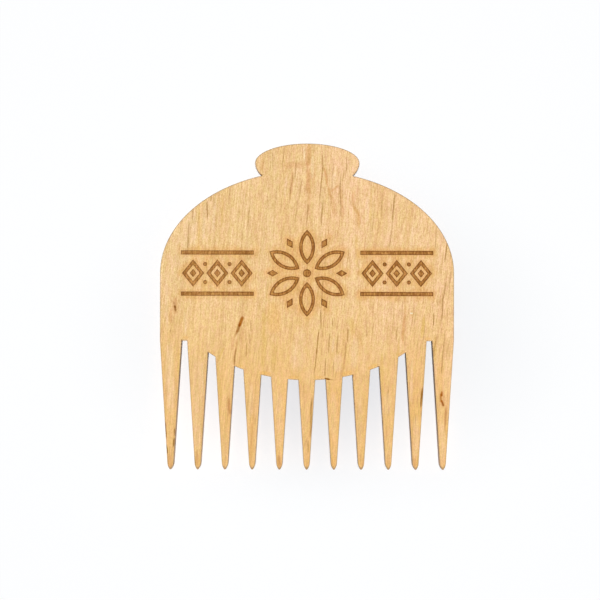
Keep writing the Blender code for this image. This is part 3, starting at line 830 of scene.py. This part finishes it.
def edgeMaterial(name):
    # upright laser marks over the fibres or the fibre ends of the ply
    look = burntEdge
    fibreCells, paleShare, seed = edgeFibres[name]
    material, tree, shader = startMaterial(name, look["roughness"], look["specular"])
    place = inMillimetres(tree)
    marks = stretchedNoise(tree, place, *look["marks"], seed, 3.0, 0.6)
    clouds = stretchedNoise(tree, place, *look["clouds"], seed + 7, 2.0)
    fibres = stretchedNoise(tree, place, *fibreCells, seed + 13, 2.0, 0.6)
    colour = blendColour(tree, fade(tree, marks, *look["markShade"]), look["dark"], look["brown"])
    cloudy = fade(tree, clouds, *look["cloudShade"])
    bare = calculate(tree, "MULTIPLY", cloudy, fade(tree, fibres, *look["fibreShade"]))
    bare = calculate(tree, "MULTIPLY", bare, paleShare)
    spot = splitAxes(tree, place)
    bare = calculate(tree, "ADD", bare, fade(tree, spot["X"], *look["paleLeft"]))
    bare = calculate(tree, "ADD", bare, fade(tree, spot["Y"], *look["paleTeeth"]))
    colour = blendColour(tree, bare, colour, look["pale"])
    tree.links.new(colour, shader.inputs["Base Color"])
    relief = calculate(tree, "ADD", marks, calculate(tree, "MULTIPLY", fibres, look["fibreRelief"]))
    addRelief(tree, shader, relief, look["relief"], look["reliefDepth"])
    return material


glueLook = {
    "dark": tone(40, 26, 18),
    "brown": tone(74, 48, 30),
    "beads": (1.4, 1.4, 4.0),  # cells a millimetre
    "beadShade": (0.35, 0.65),
    "beadRoughness": (0.3, 0.7, 0.35, 0.6),
    "seed": 71.0,
    "relief": 0.5,
    "reliefDepth": 0.03 * millimetre,
    "roughness": 0.45,
    "specular": 0.40,
}


def glueMaterial(name):
    look = glueLook
    material, tree, shader = startMaterial(name, look["roughness"], look["specular"])
    beads = stretchedNoise(tree, inMillimetres(tree), *look["beads"], look["seed"], 3.0, 0.6)
    colour = blendColour(tree, fade(tree, beads, *look["beadShade"]), look["dark"], look["brown"])
    tree.links.new(colour, shader.inputs["Base Color"])
    tree.links.new(fade(tree, beads, *look["beadRoughness"]), shader.inputs["Roughness"])
    addRelief(tree, shader, beads, look["relief"], look["reliefDepth"])
    return material


# the two outer veneers

veneer = {
    "cell": 0.40 * millimetre,
    "spare": 1.5 * millimetre,  # how far the blank reaches past the outline
    "easeStart": 0.12 * millimetre,  # the rim starts to round this far below the face
    "easing": [(0.016, 0.060), (0.044, 0.044), (0.120, 0.032)],  # in and up for each step, in mm
    "wallReach": 0.3 * millimetre,  # upright faces this near to the outline are the cut edge
}


def makeBlank(name, low, high, facing):
    # a sheet with a fine grid on the side that shows and one plain face on the glued side
    lowest, highest = cadBox
    spare = veneer["spare"]
    width = highest.x - lowest.x + 2 * spare
    length = highest.y - lowest.y + 2 * spare
    columns = round(width / veneer["cell"])
    rows = round(length / veneer["cell"])
    centre = (lowest + highest) / 2
    start = high if facing > 0 else low
    bpy.ops.object.select_all(action="DESELECT")
    bpy.ops.mesh.primitive_grid_add(
        x_subdivisions=columns, y_subdivisions=rows, size=1, location=(centre.x, centre.y, start)
    )
    blank = bpy.context.active_object
    blank.name = name
    blank.scale = (width, length, 1)
    bpy.ops.object.transform_apply(location=True, rotation=True, scale=True)
    editFaces(blank, lambda face: True)
    bpy.ops.mesh.extrude_region_move(TRANSFORM_OT_translate={"value": (0, 0, facing * (low - high))})
    bpy.ops.mesh.dissolve_faces()
    bpy.ops.mesh.select_all(action="SELECT")
    bpy.ops.mesh.normals_make_consistent(inside=False)
    leaveEditing()
    return blank


def makeOutlineCutter(low, high, facing):
    # the comb's outline, tall enough to cut right through, with its rim rounded towards the side that shows
    cutter = copyNode("back_veneer", "outlineCutter")
    spare = veneer["spare"]
    nodeLow, nodeHigh = (corner.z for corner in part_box("back_veneer"))
    shows = high if facing > 0 else low
    hidden = low if facing > 0 else high
    hiddenEnd = hidden - facing * spare
    easeLevel = shows - facing * veneer["easeStart"]
    editFaces(cutter, lambda face: isLevel(face, -facing))
    lift(hiddenEnd - (nodeLow if facing > 0 else nodeHigh))
    leaveEditing()
    editFaces(cutter, lambda face: isLevel(face, facing))
    lift(easeLevel - (nodeHigh if facing > 0 else nodeLow))
    for inwards, upwards in veneer["easing"]:
        bpy.ops.mesh.inset(thickness=inwards * millimetre, depth=0, use_even_offset=True)
        lift(facing * upwards * millimetre)
    leaveEditing()
    return cutter


def makeVeneer(name, nodeName, facing):
    lowCorner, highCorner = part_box(nodeName)
    blank = makeBlank(name, lowCorner.z, highCorner.z, facing)
    cutter = makeOutlineCutter(lowCorner.z, highCorner.z, facing)
    combine(blank, cutter, "INTERSECT")
    return blank


engraving = {
    "overrun": 0.4 * millimetre,
    "upright": 0.45,  # share of the depth that goes straight down
    "lean": 0.07 * millimetre,
    "floorRings": (0.12 * millimetre, 0.12 * millimetre),
    "floorDepths": (0.1 * millimetre, 0.6 * millimetre),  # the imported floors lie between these
    "clearOfRim": 1,  # mm: nothing is engraved nearer to the outline than this
}


def makeEngravingCutter(top):
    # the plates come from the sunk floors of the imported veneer, so the ornament stays where it is
    shallowest, deepest = engraving["floorDepths"]

    def isPocketFloor(face):
        return isLevel(face, 1) and shallowest < top - face.calc_center_median().z < deepest

    cutter = copyNode("face_veneer", "engravingCutter")
    editFaces(cutter, lambda face: not isPocketFloor(face))
    bpy.ops.mesh.delete(type="FACE")
    leaveEditing()
    floorLevel = cutter.data.vertices[0].co.z
    depth = top - floorLevel
    editFaces(cutter, lambda face: True)
    bpy.ops.mesh.delete_loose(use_verts=True, use_edges=True, use_faces=False)
    bpy.ops.mesh.select_all(action="SELECT")
    lift(depth + engraving["overrun"])
    straight = engraving["overrun"] + depth * engraving["upright"]
    bpy.ops.mesh.extrude_region_move(TRANSFORM_OT_translate={"value": (0, 0, -straight)})
    bpy.ops.mesh.inset(thickness=engraving["lean"], depth=0, use_even_offset=True)
    lift(-depth * (1 - engraving["upright"]))
    for ring in engraving["floorRings"]:
        bpy.ops.mesh.inset(thickness=ring, depth=0, use_even_offset=True)
    bpy.ops.mesh.select_all(action="SELECT")
    bpy.ops.mesh.normals_make_consistent(inside=False)
    leaveEditing()
    return cutter


def finishVeneer(piece, walls, wood, cutEdge):
    # the rim and the cut edge are smooth, the face is flat; faces on the cut edge get the burnt material
    piece.data.materials.append(wood)
    piece.data.materials.append(cutEdge)
    for face in piece.data.polygons:
        spot = Vector((face.center.x, face.center.y, 0))
        nearOutline = walls.find_nearest(spot)[3] < veneer["wallReach"]
        face.material_index = 1 if nearOutline and abs(face.normal.z) < wallNormal else 0
    makeActive(piece)
    bpy.ops.object.shade_smooth_by_angle(angle=smoothAngle)
    bpy.ops.object.modifier_add(type="WEIGHTED_NORMAL")
    piece.modifiers[-1].keep_sharp = True
    bpy.ops.object.modifier_apply(modifier=piece.modifiers[-1].name)


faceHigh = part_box("face_veneer")[1].z
rimWalls = outlineWalls(copyNode("back_veneer", "rimGuide"), -1)
bpy.data.objects.remove(bpy.data.objects["rimGuide"])

faceVeneer = makeVeneer("faceVeneer", "face_veneer", 1)
print("face veneer cut:", len(faceVeneer.data.polygons), "faces")
engravingCutter = makeEngravingCutter(faceHigh)
motifWalls = outlineWalls(engravingCutter, 1)
combine(faceVeneer, engravingCutter, "DIFFERENCE")
print("face veneer engraved:", len(faceVeneer.data.polygons), "faces")
edgeDistances = storeDistance(faceVeneer, "edgeDistance", rimWalls)


def isEngraved(vert):
    # below the face, and not on the rounded rim
    return vert.co.z < faceHigh - mergeDistance and edgeDistances[vert.index] > engraving["clearOfRim"]


storeDistance(faceVeneer, "motifDistance", motifWalls, isEngraved)
faceGrain = veneerMaterial("faceWood", faceWood, faceMarks, True)
finishVeneer(faceVeneer, rimWalls, faceGrain, edgeMaterial("faceEdge"))
print("face veneer done")

backVeneer = makeVeneer("backVeneer", "back_veneer", -1)
storeDistance(backVeneer, "edgeDistance", rimWalls)
backGrain = veneerMaterial("backWood", backWood, backMarks, False)
finishVeneer(backVeneer, rimWalls, backGrain, edgeMaterial("backEdge"))
print("back veneer done:", len(backVeneer.data.polygons), "faces")


# the core and the glue lines, which show only on the cut edge

inner = {
    "coreRecess": 0.015 * millimetre,
    "glueRecess": 0.045 * millimetre,
}


def makeInnerPly(name, nodeName, recess, material):
    # the outline drawn in a little, because the laser burns the core and the glue further back
    piece = copyNode(nodeName, name)
    lowCorner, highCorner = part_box(nodeName)
    editFaces(piece, lambda face: isLevel(face, 1))
    bpy.ops.mesh.inset(thickness=recess, depth=0, use_even_offset=True)
    bpy.ops.mesh.select_all(action="INVERT")
    bpy.ops.mesh.delete(type="FACE")
    bpy.ops.mesh.select_all(action="SELECT")
    bpy.ops.mesh.extrude_region_move(TRANSFORM_OT_translate={"value": (0, 0, lowCorner.z - highCorner.z)})
    bpy.ops.mesh.select_all(action="SELECT")
    bpy.ops.mesh.normals_make_consistent(inside=False)
    leaveEditing()
    piece.data.materials.append(material)
    makeActive(piece)
    bpy.ops.object.shade_smooth_by_angle(angle=smoothAngle)
    return piece


glueFilm = glueMaterial("glueFilm")
coreVeneer = makeInnerPly("coreVeneer", "core_veneer", inner["coreRecess"], edgeMaterial("coreEdge"))
faceGlueLine = makeInnerPly("faceGlueLine", "face_glue_line", inner["glueRecess"], glueFilm)
backGlueLine = makeInnerPly("backGlueLine", "back_glue_line", inner["glueRecess"], glueFilm)
print("core and glue lines done")

for piece, nodeName, slotName in (
    (faceVeneer, "face_veneer", "face_wood"),
    (faceGlueLine, "face_glue_line", "glue_film"),
    (coreVeneer, "core_veneer", "core_wood"),
    (backGlueLine, "back_glue_line", "glue_film"),
    (backVeneer, "back_veneer", "back_wood"),
):
    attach(piece, "root")
    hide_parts(nodeName)


# the studio: a pale floor with painted shade round the comb, one soft lamp overhead and even light all
# round

studio = {
    "floorSize": 4.0,
    "floorLevel": -0.05 * millimetre,
    "floorRoughness": 0.9,
    "floorTone": (0.980, 0.986, 0.994, 1),
    "paintedShadeTone": (0.662, 0.69, 0.735, 1),
    "paintedShades": [  # where painted shade greys the floor round the comb and between the teeth: place and reach in mm, and by how much
        ((0, -20, 0), (42, 34, 1000), 0.36),
        ((6, -8, 0), (78, 56, 1000), 0.30),
    ],
    "paintedShadeFalloff": (1.0, 0.2),  # shares of the reach
    "lampHeight": 1.6,
    "lampSize": 0.20,
    "lampPower": 22.2,
    "ambient": 0.14,
    "backdrop": 0.95,
    "nearFloor": (160, 620),  # past this the floor is as bright as the backdrop, so no horizon shows
    "cameraPlace": (-0.0019, 0.0018, 0.419),
    "cameraTurn": 0.13,
    "lens": 91.53,
    "sensorWidth": 36,
    "nearClip": 0.01,
}


def makeFloor():
    bpy.ops.object.select_all(action="DESELECT")
    bpy.ops.mesh.primitive_plane_add(size=studio["floorSize"], location=(0, 0, studio["floorLevel"]))
    floor = bpy.context.active_object
    floor.name = "studioFloor"
    bpy.ops.object.transform_apply(location=True)
    material, tree, shader = startMaterial("paleFloor", studio["floorRoughness"], 0.0)
    place = inMillimetres(tree)
    # painted shade: the floor's colour greys round the comb and between the teeth, where the comb's shadow
    # would fall
    shade = 0.0
    for centre, reach, amount in studio["paintedShades"]:
        sockets = {"Vector": place, "Location": centre, "Scale": reach}
        local = addNode(tree, "ShaderNodeMapping", sockets, vector_type="TEXTURE").outputs[0]
        distance = vectorMath(tree, "LENGTH", {0: local}, "Value")
        shade = calculate(tree, "ADD", fade(tree, distance, *studio["paintedShadeFalloff"], 0, amount), shade)
    pale = blendColour(tree, shade, studio["floorTone"], studio["paintedShadeTone"])
    farOff = fade(tree, vectorMath(tree, "LENGTH", {0: place}, "Value"), *studio["nearFloor"])
    tree.links.new(blendColour(tree, farOff, pale, (0, 0, 0, 1)), shader.inputs["Base Color"])
    shader.inputs["Emission Color"].default_value = (1, 1, 1, 1)
    brightness = calculate(tree, "MULTIPLY", farOff, studio["backdrop"])
    tree.links.new(brightness, shader.inputs["Emission Strength"])
    floor.data.materials.append(material)


def makeLight():
    bpy.ops.object.light_add(type="AREA", location=(0, 0, studio["lampHeight"]))
    lamp = bpy.context.active_object
    lamp.name = "overheadLamp"
    lamp.data.shape = "DISK"
    lamp.data.size = studio["lampSize"]
    lamp.data.energy = studio["lampPower"]

    # the even light is weak, and the backdrop that the camera sees is pale
    world = bpy.data.worlds.new("evenLight")
    world.use_nodes = True
    tree = world.node_tree
    even = tree.nodes["Background"]
    even.inputs["Color"].default_value = (1, 1, 1, 1)
    even.inputs["Strength"].default_value = studio["ambient"]
    seen = addNode(tree, "ShaderNodeBackground", {"Color": (1, 1, 1, 1), "Strength": studio["backdrop"]})
    forCamera = addNode(tree, "ShaderNodeLightPath", {}).outputs["Is Camera Ray"]
    mixed = addNode(tree, "ShaderNodeMixShader", {0: forCamera, 1: even.outputs[0], 2: seen.outputs[0]})
    tree.links.new(mixed.outputs[0], tree.nodes["World Output"].inputs["Surface"])
    bpy.context.scene.world = world


def makeCamera():
    turn = radians(studio["cameraTurn"])
    bpy.ops.object.camera_add(location=studio["cameraPlace"], rotation=(0, 0, turn))
    camera = bpy.context.active_object
    camera.data.sensor_width = studio["sensorWidth"]
    camera.data.lens = studio["lens"]
    camera.data.clip_start = studio["nearClip"]
    bpy.context.scene.camera = camera
    bpy.context.scene.view_settings.view_transform = "Standard"


makeFloor()
makeLight()
makeCamera()
print("studio done")
